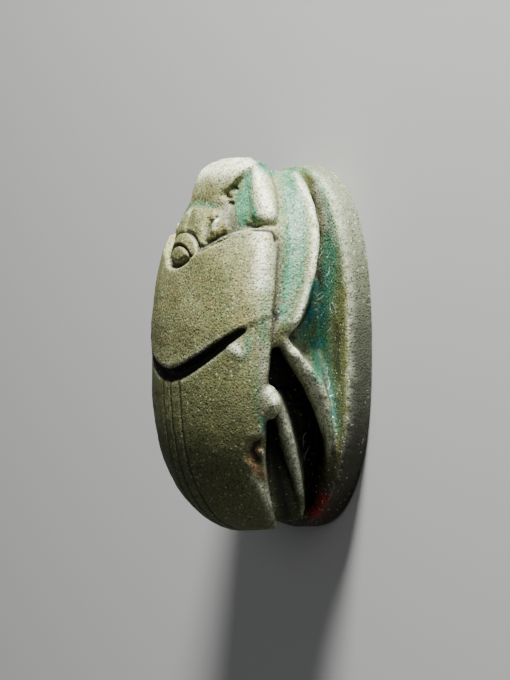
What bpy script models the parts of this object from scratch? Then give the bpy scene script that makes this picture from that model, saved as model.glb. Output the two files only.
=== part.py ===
# Scarab amulet: a beetle and its oval base carved in one piece of glazed steatite,
# pierced from end to end for a thread.
# The head points along +Y, the back faces +Z and the flat seal face lies on Z = 0.
# Sizes are in millimetres, and MM turns them into Blender's metres. Places along the
# beetle are shares of its half length, and heights are shares of its height.

import math

import bmesh
import bpy
from mathutils import Vector

MM = 0.001

# Whole amulet
LENGTH = 17.0
WIDTH = 11.6
HEIGHT = 7.55
OUTLINE_SQUARENESS = 2.4

# Base plate
BASE_THICKNESS = 1.3
BASE_TOP_ROUND = 0.3
BASE_FOOT_ROUND = 0.25
BASE_OUTLINE_POINTS = 72

# Core, the stone left between the legs where the flanks were cut back
CORE_INSET = 2.5
CORE_SHORTER_BY = 0.3
CORE_SINK = 0.4

# Back: the dome of the wing cases, and the collar (the prothorax) that stands proud of it
BACK_INSET = 0.45
BACK_OVERHANG = 0.12
COLLAR_PROUD = 0.1
NOTCH_WIDTH = 0.7
NOTCH_DEPTH = 0.5
NOTCH_HEADROOM = 0.8

# Legs, set in from the edge of the base and sunk into the core
LEG_INSET = 0.4
LEG_SINK = 0.3
BACK_OF_LEG = 0.2

# How fast the inner side of a middle or hind leg falls, per millimetre squared
LEG_DROOP = 0.35

# Thread hole along the length
HOLE_DIAMETER = 1.5
HOLE_ABOVE_BASE = 0.5
HOLE_SEGMENTS = 20

STONE_COLOUR = (0.36, 0.33, 0.21, 1.0)
STONE_ROUGHNESS = 0.55

# Heights of the carving, as shares of the height
CORE_TOP = 0.675
CORE_END_DROP = 0.17
BACK_EDGE = 0.682
WING_EDGE_RISE = 0.022
BACK_TAIL_TOP = 0.543
BACK_TAIL_EDGE = 0.33
BACK_HEAD_TOP = 0.656
BACK_HEAD_EDGE = 0.53
BACK_LIP = 0.12
DOME_FULLNESS = 0.68
HEAD_EDGE = 0.69
HEAD_FOOT = 0.5
CHEEK_TOP = 0.745
CHEEK_EDGE = 0.60
CHEEK_FALL = 0.5
CHEEK_FOOT = 0.46
TONGUE_TALL = 0.085

# Places along the length, as shares of the half length from the middle towards the head
NECK_MIDDLE = -0.15
NECK_RISE = 0.278
COLLAR_FRONT_MIDDLE = 0.43
COLLAR_FRONT_RISE = 0.206

# Swellings, as shares of the half width, the half length and the height
EYE_AT = (0.27, 0.665, 0.785)
EYE_REACH = (0.085, 0.075, 0.05)
NAPE_AT = (0.0, 0.46, 0.86)
NAPE_REACH = (0.26, 0.19, 0.10)
KNEE_AT = (0.875, -0.30, 0.655)
KNEE_REACH = (0.075, 0.095, 0.062)

# Curves of the carving, as (share of the half length, share of the height) from tail to head
HEAD_CROWN = ((0.38, 0.955), (0.50, 0.94), (0.60, 0.905), (0.70, 0.86), (0.78, 0.81), (0.83, 0.78))
CLYPEUS_CROWN = ((0.79, 0.80), (0.84, 0.785), (0.92, 0.745), (0.99, 0.69), (1.03, 0.61))
TONGUE_MIDDLE = ((0.64, 0.60), (0.70, 0.595), (0.785, 0.575), (0.915, 0.53), (1.01, 0.53))
FRONT_LEG_CREST = (
    (-0.01, 0.61), (0.05, 0.555), (0.12, 0.49), (0.23, 0.435), (0.37, 0.38), (0.59, 0.305), (0.97, 0.265),
)
FRONT_LEG_TOP = ((0.0, 0.685), (0.30, 0.70), (0.60, 0.645), (0.75, 0.54), (0.97, 0.42))
MIDDLE_LEG_CREST = (
    (-0.86, 0.15), (-0.60, 0.19), (-0.38, 0.25), (-0.20, 0.345), (-0.05, 0.475), (0.03, 0.55),
)
MIDDLE_LEG_TALL = ((-0.86, 0.03), (-0.70, 0.035), (-0.50, 0.05), (-0.38, 0.085), (-0.15, 0.115), (0.03, 0.10))
HIND_LEG_CREST = ((-0.97, 0.18), (-0.83, 0.27), (-0.65, 0.39), (-0.50, 0.475), (-0.33, 0.57), (-0.23, 0.635))
HIND_LEG_TALL = ((-0.97, 0.03), (-0.83, 0.045), (-0.60, 0.075), (-0.40, 0.092), (-0.23, 0.095))

# The same along the length, as shares of the half width
TONGUE_WIDE = 0.115
CLYPEUS_WIDTH = ((0.79, 0.29), (0.86, 0.33), (0.95, 0.355), (1.0, 0.31), (1.03, 0.20))
TONGUE_LINE = ((0.64, 0.66), (0.70, 0.63), (0.785, 0.555), (0.915, 0.385), (0.98, 0.28), (1.01, 0.21))

HALF_LENGTH = LENGTH / 2
HALF_WIDTH = WIDTH / 2
BACK_HALF_WIDTH = HALF_WIDTH - BACK_INSET
BACK_HALF_LENGTH = HALF_LENGTH + BACK_OVERHANG


def clear_scene():
    for thing in list(bpy.data.objects):
        bpy.data.objects.remove(thing)


def stone():
    material = bpy.data.materials.new("glazed_steatite")
    material.use_nodes = True
    shader = material.node_tree.nodes["Principled BSDF"]
    shader.inputs["Base Color"].default_value = STONE_COLOUR
    shader.inputs["Roughness"].default_value = STONE_ROUGHNESS
    shader.inputs["Metallic"].default_value = 0.0
    return material


def oval(share, squareness=OUTLINE_SQUARENESS):
    # Half width of an oval, as a share of its largest, at this share of the half length.
    return max(0.0, 1.0 - abs(share) ** squareness) ** (1.0 / squareness)


def outline_half_width(y):
    return HALF_WIDTH * oval(y / HALF_LENGTH)


def through(points, share):
    # Smooth curve through (share, value) points, level beyond the first and last.
    if share <= points[0][0]:
        return points[0][1]
    slopes = []
    for index in range(len(points)):
        before = points[max(index - 1, 0)]
        after = points[min(index + 1, len(points) - 1)]
        slopes.append((after[1] - before[1]) / (after[0] - before[0]))
    for first, second, slope, next_slope in zip(points, points[1:], slopes, slopes[1:]):
        if share > second[0]:
            continue
        span = second[0] - first[0]
        t = (share - first[0]) / span
        rise = second[1] - first[1]
        bend = t * (1 - t) * span
        return (
            first[1]
            + rise * t * t * (3 - 2 * t)
            + bend * ((1 - t) * slope - t * next_slope)
        )
    return points[-1][1]


def add_object(name, bm):
    bmesh.ops.recalc_face_normals(bm, faces=bm.faces)
    mesh = bpy.data.meshes.new(name)
    bm.to_mesh(mesh)
    bm.free()
    made = bpy.data.objects.new(name, mesh)
    bpy.context.scene.collection.objects.link(made)
    return made


def loft(name, stations, ring, points):
    # Bridges one ring after another along Y. ring(y, angle) gives X and Z in millimetres,
    # with the angle counted from +X towards +Z.
    bm = bmesh.new()
    rings = []
    for index, y in enumerate(stations):
        is_end = index in (0, len(stations) - 1)
        circle = bmesh.ops.create_circle(bm, cap_ends=is_end, segments=points, radius=1.0)
        for vert in circle["verts"]:
            x, z = ring(y, math.atan2(vert.co.y, vert.co.x))
            vert.co = Vector((x, y, z)) * MM
        rings.append(circle["verts"])
    for first, second in zip(rings, rings[1:]):
        edges = [e for r in (first, second) for v in r for e in v.link_edges]
        held = set(first) | set(second)
        loops = {e for e in edges if e.verts[0] in held and e.verts[1] in held}
        straight = {e for e in loops if (e.verts[0] in first) == (e.verts[1] in first)}
        bmesh.ops.bridge_loops(bm, edges=list(straight))
    return add_object(name, bm)


def prism(name, outline, low, high):
    # Upright block over an outline of (x, y) points.
    bm = bmesh.new()
    face = bm.faces.new([bm.verts.new(Vector((x, y, low)) * MM) for x, y in outline])
    raised = bmesh.ops.extrude_face_region(bm, geom=[face])["geom"]
    lift = Vector((0, 0, (high - low) * MM))
    bmesh.ops.translate(bm, verts=[v for v in raised if isinstance(v, bmesh.types.BMVert)], vec=lift)
    return add_object(name, bm)


def combine(target, others, operation):
    # Applies a Boolean of each other object to the target, then drops the other object.
    for other in others:
        modifier = target.modifiers.new(other.name, "BOOLEAN")
        modifier.operation = operation
        modifier.solver = "EXACT"
        modifier.object = other
        graph = bpy.context.evaluated_depsgraph_get()
        result = bpy.data.meshes.new_from_object(target.evaluated_get(graph))
        target.modifiers.remove(modifier)
        target.data = result
        bpy.data.objects.remove(other)


def spaced(start, end, count):
    # Stations from start to end, closer together near both ends.
    middle = (start + end) / 2
    half = (end - start) / 2
    return [middle - half * math.cos(math.pi * k / (count - 1)) for k in range(count)]


# Base

def base_plate():
    outline = []
    for k in range(BASE_OUTLINE_POINTS):
        angle = 2 * math.pi * k / BASE_OUTLINE_POINTS
        power = 2 / OUTLINE_SQUARENESS
        x = HALF_WIDTH * math.copysign(abs(math.cos(angle)) ** power, math.cos(angle))
        y = HALF_LENGTH * math.copysign(abs(math.sin(angle)) ** power, math.sin(angle))
        outline.append((x, y))
    plate = prism("base", outline, 0.0, BASE_THICKNESS)
    bm = bmesh.new()
    bm.from_mesh(plate.data)
    for height, size in ((BASE_THICKNESS, BASE_TOP_ROUND), (0.0, BASE_FOOT_ROUND)):
        rim = [e for e in bm.edges if all(abs(v.co.z - height * MM) < 1e-7 for v in e.verts)]
        bmesh.ops.bevel(
            bm, geom=rim, offset=size * MM, affect="EDGES", segments=2, profile=0.5, material=-1,
        )
    bm.to_mesh(plate.data)
    bm.free()
    return plate


# Core between the legs

def core():
    end = HALF_LENGTH - CORE_SHORTER_BY
    return loft("core", spaced(-end, end, 14), core_ring, 24)


def core_ring(y, angle):
    reach = 1.02 * HALF_LENGTH - CORE_SHORTER_BY
    half_width = (HALF_WIDTH - CORE_INSET) * oval(y / reach)
    top = (CORE_TOP - CORE_END_DROP * abs(y / HALF_LENGTH) ** 4) * HEIGHT
    foot = BASE_THICKNESS - CORE_SINK
    middle = (top + foot) / 2
    power = 0.55
    x = half_width * math.copysign(abs(math.cos(angle)) ** power, math.cos(angle))
    z = middle + (top - middle) * math.copysign(abs(math.sin(angle)) ** power, math.sin(angle))
    return x, z


# Back

def back_shape(y, proud):
    # Half width, edge height, crown height and lip depth of the dome at y.
    share = y / BACK_HALF_LENGTH
    half_width = BACK_HALF_WIDTH * oval(share) + proud
    if share < 0:
        crown_share = (1 - abs(share) ** 3.2) ** 0.58
        edge_share = (1 - abs(share) ** 4.6) ** 0.9
        crown = BACK_TAIL_TOP + (1 - BACK_TAIL_TOP) * crown_share
        wing_edge = BACK_EDGE + WING_EDGE_RISE * min(1.0, 5 * abs(share))
        edge = BACK_TAIL_EDGE + (wing_edge - BACK_TAIL_EDGE) * edge_share
    else:
        crown = BACK_HEAD_TOP + (1 - BACK_HEAD_TOP) * (1 - share ** 2.6)
        edge = BACK_HEAD_EDGE + (BACK_EDGE - BACK_HEAD_EDGE) * (1 - share ** 1.2)
    lip = BACK_LIP * (1 - 0.6 * share ** 6)
    return half_width, edge * HEIGHT, crown * HEIGHT + proud, lip * HEIGHT


def back_height(x, y, proud=0.0):
    half_width, edge, crown, _ = back_shape(y, proud)
    share = min(1.0, abs(x) / half_width)
    return edge + (crown - edge) * (1 - share ** 2) ** DOME_FULLNESS


def back_ring(y, angle, proud=0.0):
    half_width, edge, crown, lip = back_shape(y, proud)
    x = half_width * math.cos(angle)
    if angle >= 0:
        return x, edge + (crown - edge) * math.sin(angle) ** (2 * DOME_FULLNESS)
    return x, edge - lip * abs(math.sin(angle))


def neck_line(x):
    # Y of the notch between collar and wing cases.
    return (NECK_MIDDLE + NECK_RISE * (abs(x) / (0.865 * HALF_WIDTH)) ** 1.7) * HALF_LENGTH


def collar_front(x):
    # Y of the collar's front edge, which draws back in the middle to take the head.
    t = min(1.0, abs(x) / (0.73 * HALF_WIDTH))
    return (COLLAR_FRONT_MIDDLE + COLLAR_FRONT_RISE * t * t * (3 - 2 * t)) * HALF_LENGTH


def across(steps, reach=1.02 * HALF_WIDTH):
    return [reach * (2 * k / steps - 1) for k in range(steps + 1)]


def wing_cases():
    stations = spaced(-0.9995 * BACK_HALF_LENGTH, 0.32 * BACK_HALF_LENGTH, 26)
    made = loft("wing_cases", stations, back_ring, 44)
    behind = [(x, neck_line(x) + 0.01 * HALF_LENGTH) for x in across(22)]
    outline = behind + [(HALF_WIDTH * 1.02, -1.1 * HALF_LENGTH), (-HALF_WIDTH * 1.02, -1.1 * HALF_LENGTH)]
    combine(made, [prism("keep", outline, -1.0, 2 * HEIGHT)], "INTERSECT")
    return made


def collar():
    stations = spaced(-0.2 * HALF_LENGTH, 0.7 * HALF_LENGTH, 18)
    made = loft("collar", stations, lambda y, a: back_ring(y, a, COLLAR_PROUD), 44)
    front = [(x, collar_front(x)) for x in across(22)]
    behind = [(x, neck_line(x)) for x in across(22)]
    combine(made, [prism("keep", front + behind[::-1], -1.0, 2 * HEIGHT)], "INTERSECT")
    return made


def neck_notch():
    # Wedge swept over the back along the neck line, wide at the top and narrow at its floor.
    bm = bmesh.new()
    rings = []
    reach = 0.88 * HALF_WIDTH
    for x in across(26, reach):
        taper = 1.06 - (abs(x) / reach) ** 5
        y = neck_line(x)
        z = back_height(x, y)
        half = NOTCH_WIDTH / 2 * taper
        depth = NOTCH_DEPTH * taper
        corners = (
            (y + half * 0.7, z + NOTCH_HEADROOM), (y - half * 1.8, z + NOTCH_HEADROOM),
            (y - half * 0.5, z - depth), (y + half * 0.5, z - depth),
        )
        rings.append([bm.verts.new(Vector((x, *corner)) * MM) for corner in corners])
    for first, second in zip(rings, rings[1:]):
        for k in range(4):
            bm.faces.new((first[k], first[(k + 1) % 4], second[(k + 1) % 4], second[k]))
    bm.faces.new(rings[0])
    bm.faces.new(rings[-1])
    return add_object("notch", bm)


# Head

def lump_ring(angle, crown, edge, foot, half_width, squareness=0.8):
    # A rounded block: crown above its edge, foot below it.
    x = half_width * math.copysign(abs(math.cos(angle)) ** squareness, math.cos(angle))
    reach = (crown - edge) if angle >= 0 else (edge - foot)
    return x, edge + reach * math.copysign(abs(math.sin(angle)) ** squareness, angle)


def head():
    def ring(y, angle):
        share = y / HALF_LENGTH
        half_width = (0.40 - 0.34 * max(0.0, share - 0.55)) * HALF_WIDTH
        crown = through(HEAD_CROWN, share) * HEIGHT
        return lump_ring(angle, crown, HEAD_EDGE * HEIGHT, HEAD_FOOT * HEIGHT, half_width)
    return loft("head", spaced(0.38 * HALF_LENGTH, 0.83 * HALF_LENGTH, 9), ring, 24)


def clypeus():
    def ring(y, angle):
        share = y / HALF_LENGTH
        half_width = through(CLYPEUS_WIDTH, share) * HALF_WIDTH
        crown = through(CLYPEUS_CROWN, share) * HEIGHT
        return lump_ring(angle, crown, crown - 0.11 * HEIGHT, HEAD_FOOT * HEIGHT, half_width)
    return loft("clypeus", spaced(0.79 * HALF_LENGTH, 1.03 * HALF_LENGTH, 10), ring, 24)


def cheeks():
    # The slope of stone on either side of the head, out to the tongues.
    def ring(y, angle):
        share = y / HALF_LENGTH
        half_width = through(TONGUE_LINE, share) * HALF_WIDTH
        top = CHEEK_TOP - CHEEK_FALL * max(0.0, share - 0.7)
        return lump_ring(angle, top * HEIGHT, CHEEK_EDGE * HEIGHT, CHEEK_FOOT * HEIGHT, half_width)
    return loft("cheeks", spaced(0.57 * HALF_LENGTH, 0.925 * HALF_LENGTH, 8), ring, 20)


def lump(name, side, at, reach, sections=9, points=16):
    # A rounded swelling, placed and sized by shares of the half width, half length and height.
    scale = (HALF_WIDTH, HALF_LENGTH, HEIGHT)
    x, y0, z = (share * size for share, size in zip(at, scale))
    wide, long, tall = (share * size for share, size in zip(reach, scale))

    def ring(y, angle):
        size = math.sqrt(max(0.002, 1 - ((y - y0) / long) ** 2))
        return side * (x + wide * size * math.cos(angle)), z + tall * size * math.sin(angle)
    return loft(name, spaced(y0 - long, y0 + long, sections), ring, points)


# Legs

def rounded_end(share):
    # Size of a section as a piece closes in to its end, from a share of the way in.
    return math.sqrt(max(0.06, 1 - (1 - min(1.0, share)) ** 2))


def leg_ring(side, crest_x, crest_z, top_z, foot_z, sink_x, angle, face=0.32, droop=0.0):
    # Section of a leg: widest at its crest, sunk into the core on its inner side. Droop
    # lowers the inner side, so that the leg stands up as a ridge.
    bulge = max(0.0, math.cos(angle))
    power = face if angle >= 0 else 0.9
    x = sink_x + (crest_x - sink_x) * bulge ** power
    reach = (top_z - crest_z) if angle >= 0 else (crest_z - foot_z)
    z = crest_z + reach * math.sin(angle) - droop * (crest_x - x) ** 2
    if math.cos(angle) < 0:
        x += BACK_OF_LEG * math.cos(angle)
    return side * x, max(z, BASE_THICKNESS / 2)


def sunk_x(y):
    return max(LEG_SINK, outline_half_width(y) - CORE_INSET - LEG_SINK)


def front_leg(side):
    def ring(y, angle):
        share = y / HALF_LENGTH
        close = rounded_end((share + 0.02) / 0.2) * rounded_end((0.985 - share) / 0.1)
        sink = sunk_x(y)
        crest_x = sink + (outline_half_width(y) - LEG_INSET - sink) * (0.75 + 0.25 * close)
        crest_z = through(FRONT_LEG_CREST, share) * HEIGHT
        top_z = crest_z + (through(FRONT_LEG_TOP, share) * HEIGHT - crest_z) * (0.6 + 0.4 * close)
        foot_z = crest_z - 0.065 * HEIGHT * close
        return leg_ring(side, crest_x, crest_z, top_z, foot_z, sink, angle)
    return loft("front_leg", spaced(-0.005 * HALF_LENGTH, 0.965 * HALF_LENGTH, 17), ring, 16)


def middle_leg(side):
    def ring(y, angle):
        share = y / HALF_LENGTH
        close = rounded_end((0.06 - share) / 0.14)
        sink = sunk_x(y)
        crest_x = sink + (outline_half_width(y) - LEG_INSET - sink) * (0.8 + 0.2 * close)
        crest_z = through(MIDDLE_LEG_CREST, share) * HEIGHT
        tall = through(MIDDLE_LEG_TALL, share) * HEIGHT * close
        top_z, foot_z = crest_z + tall, crest_z - tall / 2
        return leg_ring(side, crest_x, crest_z, top_z, foot_z, sink, angle, 0.5, LEG_DROOP)
    return loft("middle_leg", spaced(-0.86 * HALF_LENGTH, 0.045 * HALF_LENGTH, 15), ring, 16)


def hind_leg(side):
    def ring(y, angle):
        share = y / HALF_LENGTH
        close = rounded_end((-0.225 - share) / 0.08)
        inset = LEG_INSET * (1 + min(1.0, (abs(share) - 0.23) / 0.5))
        sink = sunk_x(y)
        crest_x = max(outline_half_width(y) - inset, sink + 0.1 * HALF_WIDTH)
        crest_z = through(HIND_LEG_CREST, share) * HEIGHT
        tall = through(HIND_LEG_TALL, share) * HEIGHT * close
        top_z, foot_z = crest_z + tall, crest_z - tall / 2
        return leg_ring(side, crest_x, crest_z, top_z, foot_z, sink, angle, 0.5, LEG_DROOP)
    return loft("hind_leg", spaced(-0.97 * HALF_LENGTH, -0.23 * HALF_LENGTH, 14), ring, 16)


def tongue(side):
    # Raised tongue beside the head, the fore part of the front leg.
    def ring(y, angle):
        share = y / HALF_LENGTH
        close = rounded_end((share - 0.635) / 0.08)
        middle_x = through(TONGUE_LINE, share) * HALF_WIDTH
        middle_z = through(TONGUE_MIDDLE, share) * HEIGHT
        wide = TONGUE_WIDE * HALF_WIDTH * close
        tall = (TONGUE_TALL - 0.05 * max(0.0, share - 0.8)) * HEIGHT * close
        return side * (middle_x + wide * math.cos(angle)), middle_z + tall * math.sin(angle)
    return loft("tongue", spaced(0.64 * HALF_LENGTH, 1.01 * HALF_LENGTH, 12), ring, 14)


def thread_hole():
    radius = HOLE_DIAMETER / 2
    height = BASE_THICKNESS + HOLE_ABOVE_BASE + radius

    def ring(y, angle):
        return radius * math.cos(angle), height + radius * math.sin(angle)
    return loft("hole", [-1.2 * HALF_LENGTH, 1.2 * HALF_LENGTH], ring, HOLE_SEGMENTS)


def main():
    clear_scene()
    scarab = base_plate()
    added = [core(), wing_cases(), collar(), head(), cheeks(), clypeus()]
    added.append(lump("nape", 1, NAPE_AT, NAPE_REACH, 11, 20))
    for side in (1, -1):
        added += [front_leg(side), middle_leg(side), hind_leg(side)]
        added.append(tongue(side))
        added.append(lump("eye", side, EYE_AT, EYE_REACH))
        # The knob where the hind leg leaves the wing case
        added.append(lump("knee", side, KNEE_AT, KNEE_REACH))
    combine(scarab, added, "UNION")
    combine(scarab, [neck_notch(), thread_hole()], "DIFFERENCE")
    scarab.name = "scarab"
    scarab.data.name = "scarab"
    scarab.data.materials.clear()
    scarab.data.materials.append(stone())
    scarab.data.shade_smooth()
    scarab.data.set_sharp_from_angle(angle=math.radians(35))


main()
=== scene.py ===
import math

import bmesh
import bpy
import numpy as np
from mathutils import Matrix, Vector, noise
from mathutils.bvhtree import BVHTree


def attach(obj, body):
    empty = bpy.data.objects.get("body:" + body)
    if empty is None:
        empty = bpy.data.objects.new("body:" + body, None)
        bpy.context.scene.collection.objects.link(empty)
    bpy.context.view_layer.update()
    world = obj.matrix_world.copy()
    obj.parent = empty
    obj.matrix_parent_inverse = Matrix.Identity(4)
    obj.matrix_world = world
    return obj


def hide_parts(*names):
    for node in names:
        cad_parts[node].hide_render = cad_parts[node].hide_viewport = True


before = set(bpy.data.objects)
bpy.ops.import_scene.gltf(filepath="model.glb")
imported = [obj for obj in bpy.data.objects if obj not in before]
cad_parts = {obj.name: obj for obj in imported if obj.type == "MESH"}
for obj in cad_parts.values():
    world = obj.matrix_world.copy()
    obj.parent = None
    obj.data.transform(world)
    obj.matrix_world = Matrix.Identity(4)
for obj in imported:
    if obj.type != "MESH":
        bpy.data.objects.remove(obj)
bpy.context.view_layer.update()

mm = 0.001


# Small helpers

def srgb(code):
    # sRGB hex to the linear colour that a shader takes
    parts = [int(code[i:i + 2], 16) / 255 for i in (1, 3, 5)]
    linear = [p / 12.92 if p <= 0.04045 else ((p + 0.055) / 1.055) ** 2.4 for p in parts]
    return (*linear, 1.0)


def perMm(size):
    # texture scale for features of this size in mm, as Object coordinates are in metres
    return 1000.0 / size


def addNode(tree, kind, settings=None, inputs=None):
    node = tree.nodes.new(kind)
    for key, value in (settings or {}).items():
        setattr(node, key, value)
    for key, value in (inputs or {}).items():
        if isinstance(value, bpy.types.NodeSocket):
            tree.links.new(value, node.inputs[key])
        else:
            node.inputs[key].default_value = value
    return node


def smoothStep(value, low, high):
    t = np.clip((value - low) / (high - low), 0.0, 1.0)
    return t * t * (3 - 2 * t)


def fading(value, low, high):
    # 1 up to low, 0 from high on
    return smoothStep(-value, -high, -low)


def closeness(away, sharpness=1.0):
    # 1 on a line and near 0 two widths off it, where away counts in widths
    return np.exp(-(sharpness * away) ** 2)


def placed(name, data):
    thing = bpy.data.objects.new(name, data)
    bpy.context.scene.collection.objects.link(thing)
    return thing


def lumpy(points, size, seed=0.0):
    # smooth noise from -1 to 1 with lumps of this size in mm
    shift = Vector((seed * 7.3, seed * 3.1, seed * 5.7))
    return np.array([noise.noise(Vector(p) / size + shift) for p in points])


# Where the camera stands, which is also how places on a flank are given

studio = {
    "tilt": 27.0,                   # degrees of the camera above the floor
    "aim": (-1.27, 0.283, 2.49),    # mm, what lies in the middle of the picture
    "distance": 160.0,              # mm
    "viewHeight": 680 * 0.0472,     # mm from top to bottom at that distance
    "sensor": 36.0,                 # mm, along the picture's longer side
    "floor": "#B8B8B6",
    "floorReach": 1.0,              # metres either way
    "floorRoughness": 0.9,
    "room": "#D9DDE0",
    "roomStrength": 0.14,
    "lightsTurnTo": 3,              # mm above the floor
    # direction, then distance and size in mm, then watts
    "key": ((0.28, 0.95, 0.17), 140, 40, 1.1),
    "fill": ((0.6, 0.1, 1.0), 180, 120, 0.03),
}


# The carved stone: the CAD form, remeshed and then worked over as the carver's tool left it

carving = {
    "voxel": 0.085,             # mm between vertices
    "longEdge": 3,              # voxels, from where an edge joins no neighbours
    "softening": 5,             # passes that round the solid's crisp edges
    "softenAbove": 0.15,        # mm of height
    "blending": 90,             # passes that smooth the blended places
    "refineWithin": 0.32,       # mm either side of a cut that get a finer mesh
    "refineAbove": 3.2,         # mm of height
    "flatBelow": 0.02,          # mm of height, the seal face
    "waviness": (0.035, 1.6),   # depth and size in mm of the hand-cut faces' unevenness
    "toolMarks": (0.012, 0.45),
    "grit": (0.006, 0.17),
    # heights in mm over which each kind of relief sets in
    "relief": (0.05, 0.35),
    "linesFrom": (3.2, 3.7),
    "flanksFrom": (1.5, 1.9),
    "dirtAndShadeSharpness": 1.2,       # how much narrower the dirt and painted shade in a cut is than the cut
    # shelter of a point is the share of these rays that meet stone
    "rays": 12,
    "rayStart": 0.06,           # mm off the surface
    "rayReach": 3.5,            # mm
    "grooveSize": 12,           # passes that a groove stands out against
    "bendSize": 160,            # the same for a broad bend
    # where the masks fade, in mm
    "baseTop": (1.45, 1.75),
    "notchHalf": (0.4, 0.5),
    "notchSide": (5.05, 5.35),
    "notchFoot": (4.0, 4.4),
    # the painted shade at the tail end, and down the rim
    "tail": (-8.0, -1.0),
    "rimShadeRange": (-1.5, 7.5),
    "triangles": 190000,        # most that the finished piece may have
}

# The notch between collar and wing cases, as shares of half the base's length
neck = {"middle": -0.15, "sweep": 0.278, "halfWidth": 5.02, "curve": 1.7, "halfLength": 8.5}
goldenAngle = 2.399963

# Incised lines seen from above. Width and depth are in mm, dark is how much dirt and painted shade they
# hold.
wingLine = {"width": 0.11, "depth": 0.05, "dark": 0.7}
headLine = {"width": 0.08, "depth": 0.13, "dark": 0.9}
crownLine = {"width": 0.13, "depth": 0.16, "dark": 0.8}
napeLine = {"width": 0.16, "depth": 0.25, "dark": 0.9}

# Cuts and hollows on either flank. A place there is (across, along) in mm, seen from the camera's
# distance and tilt: along runs to the head, across from the back to the base. What has seenFlank is
# on the photographed flank alone.
flankCuts = (
    # foot of the clypeus
    {"run": ((-3.08, 8.23), (-3.27, 8.02), (-3.47, 7.79), (-3.74, 7.48), (-3.97, 7.36), (-4.21, 7.17)),
     "width": 0.18, "depth": 0.12, "dark": 0.4},
    # pits at its end
    {"run": ((-4.07, 7.10), (-3.97, 7.03)), "width": 0.09, "depth": 0.14, "dark": 0.9, "seenFlank": True},
    {"run": ((-3.97, 6.80), (-3.88, 6.75)), "width": 0.10, "depth": 0.14, "dark": 1.0, "seenFlank": True},
    {"run": ((-3.74, 7.50), (-3.64, 7.41)), "width": 0.07, "depth": 0.10, "dark": 0.8, "seenFlank": True},
    # between cheek and collar
    {"run": ((-3.17, 5.71), (-2.75, 5.55), (-2.27, 5.52), (-1.90, 5.42), (-1.76, 5.05)),
     "width": 0.15, "depth": 0.08, "dark": 0.9},
    # round the eye
    {"run": ((-4.68, 6.13), (-4.92, 5.88), (-5.06, 5.62), (-5.11, 5.36), (-5.20, 5.00)),
     "width": 0.11, "depth": 0.17, "dark": 0.6},
    # under the eye
    {"run": ((-4.21, 5.29), (-4.82, 5.00), (-5.34, 4.72)), "width": 0.17, "depth": 0.20, "dark": 1.0},
    # brow
    {"run": ((-5.77, 6.70), (-5.15, 6.70), (-4.59, 6.51)), "width": 0.30, "depth": 0.10, "dark": 0.0},
    # mouth of the thread hole
    {"run": ((-2.46, 8.73), (-1.94, 8.45)), "width": 0.20, "depth": 0.10, "dark": 0.7},
    # channel down the front leg
    {"run": ((-1.43, 8.07), (-1.24, 6.89), (-1.09, 5.71), (-1.09, 4.53), (-1.24, 3.11), (-1.61, 1.60)),
     "width": 0.40, "depth": 0.20, "dark": 0.0},
    # along its outer edge
    {"run": ((0.13, 2.93), (-0.10, 2.08), (-0.43, 1.32), (-0.76, 0.80)),
     "width": 0.12, "depth": 0.08, "dark": 0.7},
    # chip in the edge of the wing case
    {"run": ((-2.42, -4.58), (-2.84, -4.72), (-2.98, -5.05), (-2.70, -5.43)),
     "width": 0.24, "depth": 0.30, "dark": 0.8, "seenFlank": True},
    # worn edge below it
    {"run": ((-2.65, -6.13), (-2.32, -6.80), (-1.99, -7.50)),
     "width": 0.24, "depth": 0.20, "dark": 0.0, "seenFlank": True},
)
# Raised places, in the same view
flankSwells = (
    # shoulder knob
    {"run": ((-3.69, -0.09), (-3.55, -0.28)), "width": 0.40, "height": 0.10},
    # ridge of the front leg
    {"run": ((-0.95, 8.02), (-0.53, 7.27), (-0.15, 6.51), (0.04, 5.57), (0.04, 4.53), (-0.10, 3.35),
             (-0.48, 2.03), (-0.86, 1.13)),
     "width": 0.18, "height": 0.10},
    # eye
    {"run": ((-4.63, 5.85), (-4.73, 5.43)), "width": 0.15, "height": 0.16},
    # plates of the head
    {"run": ((-5.48, 6.23), (-5.44, 5.57)), "width": 0.25, "height": 0.07},
    # hind leg out of the knee
    {"run": ((-1.80, -2.74), (-1.57, -3.35), (-1.38, -4.06)), "width": 0.30, "height": 0.14},
    # middle leg's start
    {"run": ((-1.24, 0.19), (-0.81, -0.19)), "width": 0.30, "height": 0.10},
    # middle leg's outer side
    {"run": ((-0.34, -0.28), (0.18, -1.51), (0.56, -2.78), (0.79, -4.44), (0.79, -5.85)),
     "width": 0.20, "height": 0.16},
    # cheek's crest
    {"run": ((-2.75, 7.83), (-2.37, 6.89), (-2.18, 6.04)), "width": 0.30, "height": 0.06},
)
# Places where the carver ran one form into the next, in the same view
blends = (
    {"run": ((-1.99, 5.33), (-1.66, 4.96)), "width": 0.35},   # collar's corner
    {"run": ((-3.03, 5.52), (-1.80, 5.43)), "width": 0.15},   # collar's front edge
    {"run": ((-5.29, 4.65), (-4.30, 5.14)), "width": 0.15},   # under the eye
    {"run": ((-2.18, -2.74), (-1.61, -3.68)), "width": 0.75},   # knee
    {"run": ((-4.78, 6.28), (-4.54, 5.76)), "width": 0.30},   # eye
    {"run": ((-1.61, 0.57), (-1.14, 0.00)), "width": 0.40},   # front leg's foot
)


def arc(centre, reachX, reachY, start, end, steps=14):
    angles = [math.radians(start + (end - start) * k / steps) for k in range(steps + 1)]
    return [(centre[0] + reachX * math.cos(a), centre[1] + reachY * math.sin(a)) for a in angles]


def neckLine(x):
    # where the notch runs, from which the wing lines start
    share = neck["middle"] + neck["sweep"] * (abs(x) / neck["halfWidth"]) ** neck["curve"]
    return share * neck["halfLength"]


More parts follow.
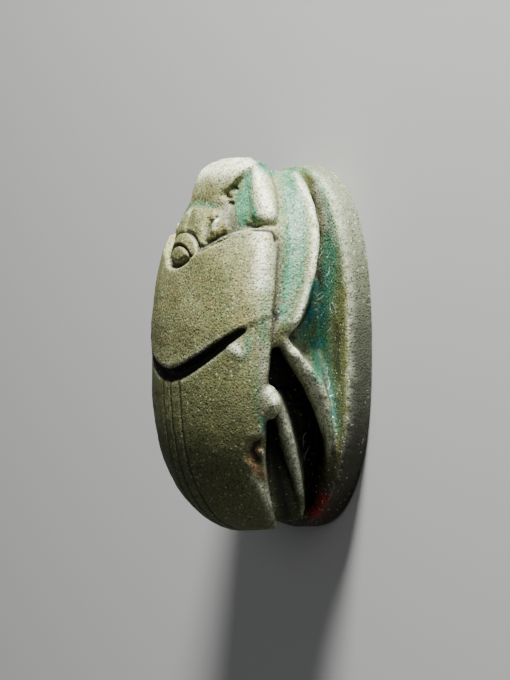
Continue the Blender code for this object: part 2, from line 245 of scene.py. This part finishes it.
def incisedLines():
    lines = []
    for x in (-0.85, 0.0, 0.85):
        run = [(x, neckLine(x) - 0.35), (x * 1.02, -4.0), (x * 0.95, -7.0), (x * 0.6, -8.5)]
        lines.append((run, wingLine))
    lines.append(([(-0.22, 6.2), (-0.2, 5.8), (-0.12, 5.4)], crownLine))
    lines.append((arc((0.0, 3.98), 1.5, 1.37, 10, 170), headLine))
    lines.append((arc((0.0, 3.92), 1.0, 0.76, 12, 168), headLine))
    lines.append((arc((0.0, 5.0), 1.6, 1.25, 232, 308), napeLine))   # against the collar
    return lines


def distanceTo(places, run):
    # distance of each place to a run of points in the same view
    best = np.full(len(places), 1e9)
    for first, second in zip(run, run[1:]):
        a, b = np.array(first), np.array(second)
        along = b - a
        t = np.clip(((places - a) @ along) / (along @ along), 0.0, 1.0)
        best = np.minimum(best, np.linalg.norm(places - a - t[:, None] * along, axis=1))
    return best


def flankView(points):
    tilt, aim = math.radians(studio["tilt"]), studio["aim"]
    out, up = abs(points[:, 0]), points[:, 2]
    nearness = 1 / (1 - (out * math.cos(tilt) + up * math.sin(tilt)) / studio["distance"])
    across = out * math.sin(tilt) - up * math.cos(tilt)
    middle = aim[0] * math.sin(tilt) - aim[2] * math.cos(tilt)
    along = aim[1] + (points[:, 1] - aim[1]) * nearness
    return np.stack([middle + (across - middle) * nearness, along], axis=1)


def facingFlank(normals, points, low=0.0, high=0.3):
    tilt = math.radians(studio["tilt"])
    side = np.sign(points[:, 0])
    return smoothStep(normals[:, 0] * side * math.cos(tilt) + normals[:, 2] * math.sin(tilt), low, high)


def readPoints(mesh):
    points = np.empty(len(mesh.vertices) * 3)
    mesh.vertices.foreach_get("co", points)
    return points.reshape(-1, 3) / mm


def writePoints(mesh, points):
    mesh.vertices.foreach_set("co", (points * mm).ravel())
    mesh.update()


def readNormals(mesh):
    normals = np.empty(len(mesh.vertices) * 3)
    mesh.vertices.foreach_get("normal", normals)
    return normals.reshape(-1, 3)


def readEdges(mesh, points):
    # the long edges that span the seal face join no neighbours
    edges = np.empty(len(mesh.edges) * 2, dtype=np.int64)
    mesh.edges.foreach_get("vertices", edges)
    edges = edges.reshape(-1, 2)
    lengths = np.linalg.norm(points[edges[:, 0]] - points[edges[:, 1]], axis=1)
    return edges[lengths < carving["longEdge"] * carving["voxel"]]


def eased(values, edges, passes):
    # each value moves half way to the mean of its neighbours, so many times
    count = np.bincount(edges.ravel(), minlength=len(values))
    count = np.maximum(count, 1)[:, None]
    values = values.reshape(len(values), -1).copy()
    for _ in range(passes):
        total = np.stack([
            np.bincount(edges[:, 0], values[edges[:, 1], k], len(values))
            + np.bincount(edges[:, 1], values[edges[:, 0], k], len(values))
            for k in range(values.shape[1])
        ], axis=1)
        values = (values + total / count) / 2
    return values


def modified(mesh, kind, settings):
    # the mesh as one modifier leaves it
    draft = placed("draft", mesh)
    modifier = draft.modifiers.new("draft", kind)
    for key, value in settings.items():
        setattr(modifier, key, value)
    graph = bpy.context.evaluated_depsgraph_get()
    result = bpy.data.meshes.new_from_object(draft.evaluated_get(graph))
    bpy.data.objects.remove(draft)
    return result


def remeshed(node):
    # a merged copy of the CAD node, as an even skin
    mesh = node.data.copy()
    bm = bmesh.new()
    bm.from_mesh(mesh)
    bmesh.ops.remove_doubles(bm, verts=bm.verts, dist=1e-7)
    bm.to_mesh(mesh)
    bm.free()
    return modified(mesh, "REMESH", {"mode": "VOXEL", "voxel_size": carving["voxel"] * mm})


def thinned(mesh):
    # fewer faces where the stone runs smooth
    triangles = sum(len(face.vertices) - 2 for face in mesh.polygons)
    share = carving["triangles"] / triangles
    return modified(mesh, "DECIMATE", {"decimate_type": "COLLAPSE", "ratio": share})


def keepSkin(bm):
    # the remesh leaves tiny bubbles inside the stone where forms meet: only the outer skin stays
    top = max(bm.verts, key=lambda v: v.co.z)
    skin, front = {top}, {top}
    while front:
        front = {e.other_vert(v) for v in front for e in v.link_edges} - skin
        skin |= front
    bmesh.ops.delete(bm, geom=[v for v in bm.verts if v not in skin], context="VERTS")
    bm.verts.index_update()


def softenAndRefine(mesh):
    bm = bmesh.new()
    bm.from_mesh(mesh)
    keepSkin(bm)
    for _ in range(carving["softening"]):
        above = [v for v in bm.verts if v.co.z > carving["softenAbove"] * mm]
        bmesh.ops.smooth_vert(
            bm, verts=above, factor=0.5, use_axis_x=True, use_axis_y=True, use_axis_z=True)
    points = np.array([v.co / mm for v in bm.verts])
    near = np.zeros(len(points), dtype=bool)
    for run, _ in incisedLines():
        near |= distanceTo(points[:, :2], run) < carving["refineWithin"]
    for cut in flankCuts:
        near |= distanceTo(flankView(points), cut["run"]) < carving["refineWithin"]
    near &= points[:, 2] > carving["refineAbove"]
    cut = [e for e in bm.edges if near[e.verts[0].index] and near[e.verts[1].index]]
    bmesh.ops.subdivide_edges(bm, edges=cut, cuts=1, use_grid_fill=True)
    bm.normal_update()
    # the flat seal face needs few faces
    low = carving["flatBelow"] * mm
    flat = {f for f in bm.faces if f.normal.z < -0.999 and f.calc_center_median().z < low}
    inner = [e for e in bm.edges if all(f in flat for f in e.link_faces)]
    bmesh.ops.dissolve_edges(bm, edges=inner, use_verts=True, use_face_split=False)
    bmesh.ops.triangulate(bm, faces=[f for f in bm.faces if len(f.verts) > 4])
    bm.to_mesh(mesh)
    bm.free()
    mesh.update()


def carve(mesh):
    points, normals = readPoints(mesh), readNormals(mesh)
    edges = readEdges(mesh, points)
    flank, facing = flankView(points), facingFlank(normals, points)
    blended = eased(points, edges, carving["blending"])
    for blend in blends:
        share = closeness(distanceTo(flank, blend["run"]) / blend["width"]) * facing
        points += (blended - points) * share[:, None]
    # the seal face and its foot stay flat
    loose = smoothStep(points[:, 2], *carving["relief"])
    move = np.zeros(len(points))
    for seed, kind in enumerate(("waviness", "toolMarks", "grit"), 1):
        depth, size = carving[kind]
        move += depth * lumpy(points, size, seed)
    upper = smoothStep(normals[:, 2], 0.05, 0.35) * smoothStep(points[:, 2], *carving["linesFrom"])
    raised = smoothStep(points[:, 2], *carving["flanksFrom"]) * facing
    # how dark each cut is: dirt and painted shade
    incised = np.zeros(len(points))
    for run, line in incisedLines():
        away = distanceTo(points[:, :2], run) / line["width"]
        move -= line["depth"] * closeness(away) * upper
        cutDirtAndShade = line["dark"] * closeness(away, carving["dirtAndShadeSharpness"]) * upper
        incised = np.maximum(incised, cutDirtAndShade)
    for cut in flankCuts:
        away = distanceTo(flank, cut["run"]) / cut["width"]
        there = raised * (points[:, 0] > 0) if cut.get("seenFlank") else raised
        move -= cut["depth"] * closeness(away) * there
        cutDirtAndShade = cut["dark"] * closeness(away, carving["dirtAndShadeSharpness"]) * there
        incised = np.maximum(incised, cutDirtAndShade)
    for swell in flankSwells:
        away = distanceTo(flank, swell["run"]) / swell["width"]
        move += swell["height"] * closeness(away) * raised
    writePoints(mesh, points + normals * (move * loose)[:, None])
    # the darkness of the cuts, dirt and painted shade, for the material
    mask = mesh.attributes.new("incised", "FLOAT", "POINT")
    mask.data.foreach_set("value", incised)


def shutShare(points, normals, mesh):
    # share of the rays out of each vertex that meet the stone again nearby
    tree = BVHTree.FromPolygons([Vector(p) for p in points], [p.vertices for p in mesh.polygons])
    rays = carving["rays"]
    directions = []
    for k in range(rays):
        z = (k + 0.5) / rays
        r = math.sqrt(1 - z * z)
        directions.append(Vector((r * math.cos(goldenAngle * k), r * math.sin(goldenAngle * k), z)))
    shut = np.zeros(len(points))
    up = Vector((0, 0, 1))
    for index in range(len(points)):
        normal = Vector(normals[index])
        turn = up.rotation_difference(normal)
        start = Vector(points[index]) + normal * carving["rayStart"]
        for direction in directions:
            if tree.ray_cast(start, turn @ direction, carving["rayReach"])[0] is not None:
                shut[index] += 1 / rays
    return shut


def measureSurface(mesh):
    # per-vertex masks that the material reads
    points, normals = readPoints(mesh), readNormals(mesh)
    edges = readEdges(mesh, points)
    y, z = points[:, 1], points[:, 2]
    neckAt = neckLine(points[:, 0])
    masks = {}
    for name, passes in (("groove", carving["grooveSize"]), ("bend", carving["bendSize"])):
        masks[name] = ((eased(points, edges, passes) - points) * normals).sum(axis=1)
    masks["shut"] = eased(shutShare(points, normals, mesh), edges, 2)[:, 0]
    flank, facing = flankView(points), facingFlank(normals, points, -0.2, 0.1)
    for kind in strokes:
        masks[kind] = strokeMask(flank, facing, kind)
    # damage is on the photographed flank alone
    for kind in ("chipped", "red"):
        masks[kind] *= points[:, 0] > 0
    # painted shade in the hollows between the legs, where the stone closes over them
    masks["hollowShade"] *= smoothStep(masks["shut"], 0.06, 0.2)
    # painted shade in the notch between collar and wing cases
    nearNeck = fading(abs(y - neckAt), *carving["notchHalf"])
    nearNeck *= fading(abs(points[:, 0]), *carving["notchSide"]) * smoothStep(z, *carving["notchFoot"])
    masks["notch"] = nearNeck * smoothStep(masks["shut"], 0.08, 0.25)
    low = fading(z, *carving["baseTop"])
    level = smoothStep(normals[:, 2], 0.5, 0.8)
    masks["recess"] = low * level
    masks["rim"] = low * (1 - level)
    # painted shade towards the tail, down the rim, on the top of the back and behind the neck
    masks["tail"] = fading(y, *carving["tail"])
    masks["along"] = fading(y, *carving["rimShadeRange"])
    masks["crown"] = smoothStep(normals[:, 2], 0.6, 0.95) * (z > 3.5)
    masks["shadeBehindNeck"] = fading(y - neckAt, -0.1, 0.1)
    for name, values in masks.items():
        mask = mesh.attributes.new(name, "FLOAT", "POINT")
        mask.data.foreach_set("value", values)
    print("measured", len(masks), "masks")


# Where glaze, wear, dirt, painted highlights and painted shade lie, as strokes in the flank's view. Each
# has its width in mm and strength.
strokes = {
    "glaze": (
        # front leg's face
        ((-1.24, 8.21), (-1.09, 6.89), (-1.00, 5.71), (-1.05, 4.53), (-1.24, 3.11),
         (-1.57, 1.60), 0.52, 1.00),
        # slope beside the head
        ((-3.08, 8.07), (-3.22, 7.13), (-3.31, 5.71), 0.22, 1.00),
        ((-3.45, 7.13), (-3.50, 5.71), 0.34, 1.00),
        # brow
        ((-5.81, 6.70), (-5.15, 6.70), (-4.59, 6.56), 0.16, 0.60),
        # thread hole's mouth
        ((-2.46, 8.59), (-1.99, 8.31), 0.35, 1.00),
        # recess
        ((-0.39, 8.31), (0.27, 7.36), (0.75, 5.24), 0.36, 0.50),
        ((0.75, 5.00), (0.70, 3.11), (0.32, 0.99), (0.37, 0.05), 0.42, 1.00),
        ((0.42, 0.05), (0.79, -1.84), (1.03, -3.96), 0.26, 0.70),
        ((-0.53, 0.52), (0.04, 0.05), (0.18, -1.60), 0.35, 1.00),
        # pooled in the side
        ((-2.46, -3.40), (-2.32, -3.96), 0.12, 1.00),
        # shoulder
        ((-3.12, 0.38), (-3.12, -0.05), (-3.27, -0.47), 0.14, 0.70),
        # side of the back
        ((-2.23, 2.88), (-2.37, 0.05), (-2.51, -3.02), 0.32, 0.50),
        # under the front leg's edge
        ((0.04, 2.88), (-0.15, 1.60), (-0.53, 0.61), 0.32, 1.00),
        # foot of the front leg's ridge
        ((-0.76, 7.13), (-0.50, 5.71), (-0.53, 4.53), (-0.80, 2.88), 0.24, 1.00),
        # recess towards the head
        ((0.32, 7.45), (0.70, 6.18), (0.89, 4.77), 0.28, 0.80),
        # cheek's lower side
        ((-3.22, 7.74), (-3.03, 6.75), (-2.75, 5.90), 0.22, 0.90),
    ),
    "blue": (
        # recess
        ((0.37, 3.82), (0.23, 1.23), (0.37, -0.19), (0.70, -1.84), (0.89, -3.26), 0.26, 0.60),
        ((-0.53, 0.38), (0.04, 0.05), 0.30, 1.00),
        ((-2.46, -3.40), (-2.32, -3.96), 0.20, 1.00),
        ((-2.46, 8.68), (-1.99, 8.40), 0.35, 1.00),
        # under the front leg's edge
        ((0.04, 2.88), (-0.15, 1.60), (-0.53, 0.61), 0.30, 1.00),
    ),
    # cream wear, and painted highlights along lit ridges, sides, knobs and edges
    "creamAndHighlight": (
        # recess towards the head
        ((0.32, 7.45), (0.70, 6.18), (0.89, 5.00), 0.30, 0.90),
        # side of the collar
        ((-2.51, 5.00), (-2.48, 3.96), (-2.48, 2.88), 0.36, 0.95),
        # cheek
        ((-2.70, 8.21), (-2.32, 7.13), (-1.99, 6.13), 0.26, 1.00),
        # ridge of the front leg
        ((-0.86, 8.02), (-0.34, 7.13), (-0.01, 6.18), (0.13, 5.00),
         (-0.06, 3.35), (-0.48, 1.93), (-0.91, 0.85), 0.15, 0.90),
        # clypeus
        ((-4.63, 8.31), (-3.88, 8.59), (-3.17, 8.64), 0.38, 0.90),
        # knee
        ((-2.18, -2.12), (-1.76, -2.41), 0.22, 1.00),
        # middle leg's start
        ((-1.14, 0.14), (-0.67, -0.47), (-0.25, -1.32), (0.13, -2.31), (0.42, -3.73), 0.28, 0.50),
        # shoulder knob
        ((-3.78, -0.05), (-3.55, -0.28), 0.22, 0.90),
        # worn edge
        ((-2.70, -6.13), (-2.32, -6.80), (-1.99, -7.50), 0.20, 1.00),
        # eye
        ((-4.63, 5.95), (-4.63, 5.52), 0.13, 0.70),
        # edge of the hind leg
        ((-1.47, -3.02), (-1.09, -4.20), (-0.76, -5.62), (-0.62, -6.80), 0.18, 1.00),
    ),
    "bare": (
        # between head and collar
        ((-4.21, 6.32), (-3.93, 5.85), (-3.74, 5.43), 0.34, 1.00),
        # between collar and front leg
        ((-1.76, 5.00), (-1.72, 2.64), (-1.92, 0.66), 0.20, 1.00),
        # middle leg's outer side
        ((-0.06, -1.84), (0.37, -2.78), 0.25, 0.70),
        # side of the wing case
        ((-2.51, -0.09), (-2.37, -1.60), (-2.37, -3.11), 0.22, 0.70),
        # recess beside the front leg
        ((-0.25, 7.93), (0.18, 6.98), (0.37, 5.66), 0.24, 0.80),
    ),
    "chipped": (
        # edge of the wing case
        ((-2.75, -4.86), (-2.98, -5.33), (-2.75, -5.76), (-2.46, -6.09), 0.20, 0.90),
    ),
    # painted shade in the deep hollows between and behind the legs
    "hollowShade": (
        # between the legs
        ((-1.99, -0.42), (-1.47, -1.84), (-0.86, -3.73), (-0.20, -5.85), (-0.15, -7.27), 0.40, 1.00),
        # behind the hind leg
        ((-2.18, -3.73), (-1.90, -5.38), (-1.43, -7.27), (-1.24, -8.31), 0.36, 1.00),
    ),
    "dusty": (
        # recess
        ((0.51, 4.29), (0.65, 2.17), (0.37, 0.52), (0.65, -1.37), (0.79, -3.26), 0.40, 1.00),
        # pits
        ((-1.38, -1.23), (-0.67, -3.02), (-0.10, -5.38), 0.40, 0.80),
    ),
    "red": (
        # tail of the base
        ((0.09, -7.83), (0.37, -7.27), 0.32, 1.00),
    ),
}


def strokeMask(flank, facing, kind):
    mask = np.zeros(len(flank))
    for *run, width, strength in strokes[kind]:
        mask = np.maximum(mask, strength * closeness(distanceTo(flank, run) / width))
    return mask * facing


def carvedStone():
    mesh = remeshed(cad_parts["scarab"])
    print("skin", len(mesh.polygons), "faces")
    softenAndRefine(mesh)
    print("refined", len(mesh.polygons), "faces")
    carve(mesh)
    measureSurface(mesh)
    mesh = thinned(mesh)
    print("thinned", len(mesh.polygons), "faces")
    mesh.name = "carvedScarab"
    mesh.shade_smooth()
    return placed("carvedScarab", mesh)


# Material: steatite, a soft talc stone, glazed once and worn since. The stone is a speckled
# beige olive with a dull sheen, and green glaze is left where hands and sand didn't reach.

# Shade in the hollows, the notch, the cuts and towards the tail, and highlights and glints, are painted
# into the colour as well.
stoneLook = {
    "stone": "#8B8D62",
    "stoneDark": "#6A6D42",
    "warm": "#8E7A4A",
    # painted shade, olive: behind the neck, on the top of the back, towards the tail and in broad hollows
    "olivePaintedShade": "#4E5230",
    # cream of worn stone, also used for painted highlights
    "creamAndHighlight": "#E0E6C6",
    "rim": "#70785C",
    # painted shade of the rim towards the tail
    "rimPaintedShade": "#3E4234",
    # painted shade at the tail end
    "tail": "#2A261A",
    "bare": "#76765F",
    "glaze": "#3D7357",
    "glazeBlue": "#196E72",
    "olive": "#56592C",
    # near black: dirt, and painted shade in the notch, the hollows and the cuts
    "dirtAndShade": "#0B0E08",
    "grain": "#2A2616",
    "chip": "#B48E62",
    "red": "#8A1A20",
    # dust, also used for painted glints
    "dustAndGlint": "#EEF4F0",
    "blotchSize": 2.2,               # mm
    "grainSize": 0.1,                # mm
    # grains: spacing and radius in mm, and the share of them that is there
    "darkGrains": (0.13, 0.06, 0.6),
    "darkSpots": (0.26, 0.1, 0.25),
    "paleGrains": (0.19, 0.07, 0.3),
    # glints painted as pale grains, with specks of dust
    "dustSpecksAndGlints": (0.25, 0.045, 0.5),
    "fibres": (0.13, 0.024, 0.5),
    "fibreStretch": (1.0, 18.0, 8.0),
    "fibreBend": 0.4,                # mm
    "fibreTurns": (0.5, -0.9, 2.0, 0.05),
    # strengths
    "speckle": 0.8,
    # strength of the cream wear and painted highlights
    "wearAndHighlight": 0.9,
    "edgeWear": 0.4,
    # strength of the painted shade at the tail end
    "tailDark": 0.9,
    "grainDark": 0.7,
    "rimGrain": 0.55,
    "grainPale": 0.28,
    # strength of the dirt and painted shade
    "dirtAndShadeDark": 0.97,
    "dustPale": 0.9,
    "stoneRoughness": 0.62,
    "glazeRoughness": 0.42,          # of the cream wear too
    "specular": 0.35,
    "bump": 0.9,
    "bumpDepth": 0.035,              # mm
}


def glazedSteatite():
    look = stoneLook
    material = bpy.data.materials.new("glazed steatite")
    material.use_nodes = True
    tree = material.node_tree
    shader = tree.nodes["Principled BSDF"]
    place = addNode(tree, "ShaderNodeTexCoord").outputs["Object"]

    def mask(name):
        return addNode(tree, "ShaderNodeAttribute", {"attribute_name": name}).outputs["Fac"]

    def patches(size, detail=3.0, roughness=0.55):
        return addNode(tree, "ShaderNodeTexNoise", None, {
            "Vector": place, "Scale": perMm(size), "Detail": detail,
            "Roughness": roughness}).outputs["Fac"]

    def ramp(value, low, high, start=0.0, end=1.0):
        return addNode(tree, "ShaderNodeMapRange", {"interpolation_type": "SMOOTHSTEP"}, {
            "Value": value, "From Min": low, "From Max": high, "To Min": start, "To Max": end}).outputs[0]

    def combined(kind, first, second, *others):
        result = addNode(tree, "ShaderNodeMath", {"operation": kind, "use_clamp": True}, {
            0: first, 1: second})
        return combined(kind, result.outputs[0], *others) if others else result.outputs[0]

    def over(under, colour, share, blend="MIX"):
        return addNode(tree, "ShaderNodeMix", {"data_type": "RGBA", "blend_type": blend},
                       {0: share, 6: under, 7: colour}).outputs[2]

    def grains(coordinates, spacing, radius, share):
        # one grain to a cell, of which only a share are kept
        cells = addNode(tree, "ShaderNodeTexVoronoi", None, {
            "Vector": coordinates, "Scale": perMm(spacing)})
        chosen = addNode(tree, "ShaderNodeSeparateColor", None, {0: cells.outputs["Color"]}).outputs[0]
        near = ramp(cells.outputs["Distance"], radius / spacing, 0.4 * radius / spacing)
        return combined("MULTIPLY", near, ramp(chosen, 1 - share - 0.01, 1 - share + 0.01))

    def fibres(turn):
        # grains drawn out into threads along a turned axis, a little bent
        bent = addNode(tree, "ShaderNodeTexNoise", None, {
            "Vector": place, "Scale": perMm(0.7), "Detail": 0.0})
        shift = addNode(tree, "ShaderNodeVectorMath", {"operation": "MULTIPLY_ADD"}, {
            0: bent.outputs["Color"], 1: (look["fibreBend"] * mm,) * 3, 2: place}).outputs[0]
        turned = addNode(tree, "ShaderNodeMapping", {"vector_type": "TEXTURE"}, {
            "Vector": shift, "Rotation": (0.0, 0.0, turn), "Scale": look["fibreStretch"]}).outputs[0]
        return grains(turned, *look["fibres"])

    def painted(under, name, share):
        return over(under, srgb(look[name]), share)

    def times(*shares):
        return combined("MULTIPLY", *shares)

    def most(*shares):
        return combined("MAXIMUM", *shares)

    shut, groove, bend, incised = mask("shut"), mask("groove"), mask("bend"), mask("incised")
    recess, rim, tail, bare = mask("recess"), mask("rim"), mask("tail"), mask("bare")
    # stone, with painted shade darker and more olive behind the neck, on the top of the back and towards
    # the tail
    blotches = ramp(patches(look["blotchSize"], 5.0), 0.35, 0.65)
    colour = painted(srgb(look["stoneDark"]), "stone", blotches)
    colour = painted(colour, "warm", ramp(patches(0.7, 4.0), 0.5, 0.68, 0.0, 0.5))
    for where, share in ((mask("shadeBehindNeck"), 0.6), (mask("crown"), 0.5), (tail, 0.7)):
        colour = painted(colour, "olivePaintedShade", times(where, share))
    colour = painted(colour, "bare", bare)
    # the rim, with painted shade growing towards the tail
    colour = over(colour, painted(srgb(look["rim"]), "rimPaintedShade", mask("along")), rim)
    # painted shade in broad hollows
    colour = painted(colour, "olivePaintedShade", times(ramp(bend, 0.02, 0.2), 0.6))
    colour = painted(colour, "olive", times(recess, 0.85))
    # cream where the stone is worn, and painted highlights on lit ridges, sides and knobs
    wearAndHighlight = times(mask("creamAndHighlight"), ramp(patches(0.6, 4.0), 0.25, 0.55), look["wearAndHighlight"])
    colour = painted(colour, "creamAndHighlight", wearAndHighlight)
    edgeWear = times(ramp(bend, -0.06, -0.24), ramp(patches(0.5), 0.3, 0.6), look["edgeWear"])
    colour = painted(colour, "creamAndHighlight", edgeWear)
    # glaze left in the recesses
    glazed = combined("SUBTRACT", mask("glaze"), times(bare, 0.7))
    glaze = times(glazed, ramp(patches(0.45, 5.0), 0.22, 0.44))
    blue = times(mask("blue"), ramp(patches(0.6, 4.0), 0.4, 0.6))
    colour = over(colour, painted(srgb(look["glaze"]), "glazeBlue", blue), glaze)
    # painted shade at the tail end of the base, then the red spot and the chip
    colour = painted(colour, "tail", times(tail, most(rim, recess), look["tailDark"]))
    colour = painted(colour, "red", times(mask("red"), ramp(patches(0.9), 0.25, 0.5)))
    colour = painted(colour, "chip", times(mask("chipped"), ramp(patches(0.3), 0.35, 0.5)))
    # speckle of the stone
    fine = ramp(patches(look["grainSize"], 3.0, 0.8), 0.32, 0.68, 0.25, 1.75)
    speckled = addNode(tree, "ShaderNodeCombineColor", None, {0: fine, 1: fine, 2: fine}).outputs[0]
    colour = over(colour, speckled, look["speckle"], "MULTIPLY")
    spots = most(grains(place, *look["darkGrains"]), grains(place, *look["darkSpots"]))
    colour = painted(colour, "grain", times(spots, look["grainDark"]))
    onRim = times(most(rim, bare), ramp(patches(0.1, 2.0), 0.48, 0.62), look["rimGrain"])
    colour = painted(colour, "grain", onRim)
    pale = grains(place, *look["paleGrains"])
    colour = painted(colour, "creamAndHighlight", times(pale, look["grainPale"]))
    # dirt and painted shade in the cuts and hollows, near black where the stone closes over
    # dirt and painted shade in concave grooves
    grooveDirtAndShade = times(ramp(groove, 0.02, 0.07), 0.6)
    kept = times(most(mask("glaze"), bare), 0.4)
    # painted shade where the stone closes over a spot
    occlusionShade = ramp(combined("SUBTRACT", shut, kept), 0.5, 0.75)
    dirtAndShade = most(grooveDirtAndShade, ramp(incised, 0.1, 0.85), occlusionShade, mask("hollowShade"), mask("notch"))
    colour = painted(colour, "dirtAndShade", times(dirtAndShade, look["dirtAndShadeDark"]))
    # painted glints and specks of dust as pale grains, and threads of dust
    sheltered = most(times(mask("glaze"), 0.6), recess, ramp(shut, 0.25, 0.6), bare)
    dustSpecksAndGlints = times(grains(place, *look["dustSpecksAndGlints"]), ramp(sheltered, 0.0, 1.0, 0.05, 0.75))
    colour = painted(colour, "dustAndGlint", dustSpecksAndGlints)
    threads = most(*[fibres(turn) for turn in look["fibreTurns"]])
    colour = painted(colour, "dustAndGlint", times(threads, mask("dusty"), look["dustPale"]))
    tree.links.new(colour, shader.inputs["Base Color"])
    shader.inputs["Specular IOR Level"].default_value = look["specular"]
    worn = combined("SUBTRACT", most(glaze, wearAndHighlight), rim)
    rough = ramp(worn, 0.0, 1.0, look["stoneRoughness"], look["glazeRoughness"])
    tree.links.new(rough, shader.inputs["Roughness"])
    relief = combined("SUBTRACT", patches(look["grainSize"], 3.0), times(spots, 0.3))
    bump = addNode(tree, "ShaderNodeBump", None, {
        "Strength": look["bump"], "Distance": look["bumpDepth"] * mm, "Height": relief})
    tree.links.new(bump.outputs["Normal"], shader.inputs["Normal"])
    return material


# Studio

def photoCamera():
    tilt = math.radians(studio["tilt"])
    away = Vector((math.cos(tilt), 0.0, math.sin(tilt)))
    right = Vector((math.sin(tilt), 0.0, -math.cos(tilt)))
    up = Vector((0.0, 1.0, 0.0))
    lens = bpy.data.cameras.new("photoCamera")
    lens.sensor_width = studio["sensor"]
    lens.lens = studio["sensor"] * studio["distance"] / studio["viewHeight"]
    lens.clip_start = 0.001
    camera = placed("photoCamera", lens)
    turned = Matrix((right, up, away)).transposed().to_4x4()
    place = Vector(studio["aim"]) * mm + away * studio["distance"] * mm
    camera.matrix_world = Matrix.Translation(place) @ turned
    bpy.context.scene.camera = camera


def softLight(name):
    direction, distance, size, power = studio[name]
    lamp = bpy.data.lights.new(name, "AREA")
    lamp.shape = "DISK"
    lamp.size = size * mm
    lamp.energy = power
    light = placed(name, lamp)
    towards = Vector(direction).normalized()
    light.location = Vector((0, 0, studio["lightsTurnTo"] * mm)) + towards * distance * mm
    light.rotation_euler = towards.to_track_quat("Z", "Y").to_euler()


def paleFloor():
    bm = bmesh.new()
    bmesh.ops.create_grid(bm, x_segments=2, y_segments=2, size=studio["floorReach"])
    mesh = bpy.data.meshes.new("floor")
    bm.to_mesh(mesh)
    bm.free()
    floor = placed("floor", mesh)
    paint = bpy.data.materials.new("matt board")
    paint.use_nodes = True
    shader = paint.node_tree.nodes["Principled BSDF"]
    shader.inputs["Base Color"].default_value = srgb(studio["floor"])
    shader.inputs["Roughness"].default_value = studio["floorRoughness"]
    mesh.materials.append(paint)


def softRoom():
    world = bpy.data.worlds.new("softRoom")
    world.use_nodes = True
    sky = world.node_tree.nodes["Background"]
    sky.inputs["Color"].default_value = srgb(studio["room"])
    sky.inputs["Strength"].default_value = studio["roomStrength"]
    bpy.context.scene.world = world


photoCamera()
paleFloor()
softRoom()
softLight("key")
softLight("fill")
print("studio set")

scarab = carvedStone()
scarab.data.materials.clear()
scarab.data.materials.append(glazedSteatite())
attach(scarab, "root")
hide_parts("scarab")
print("scarab made")
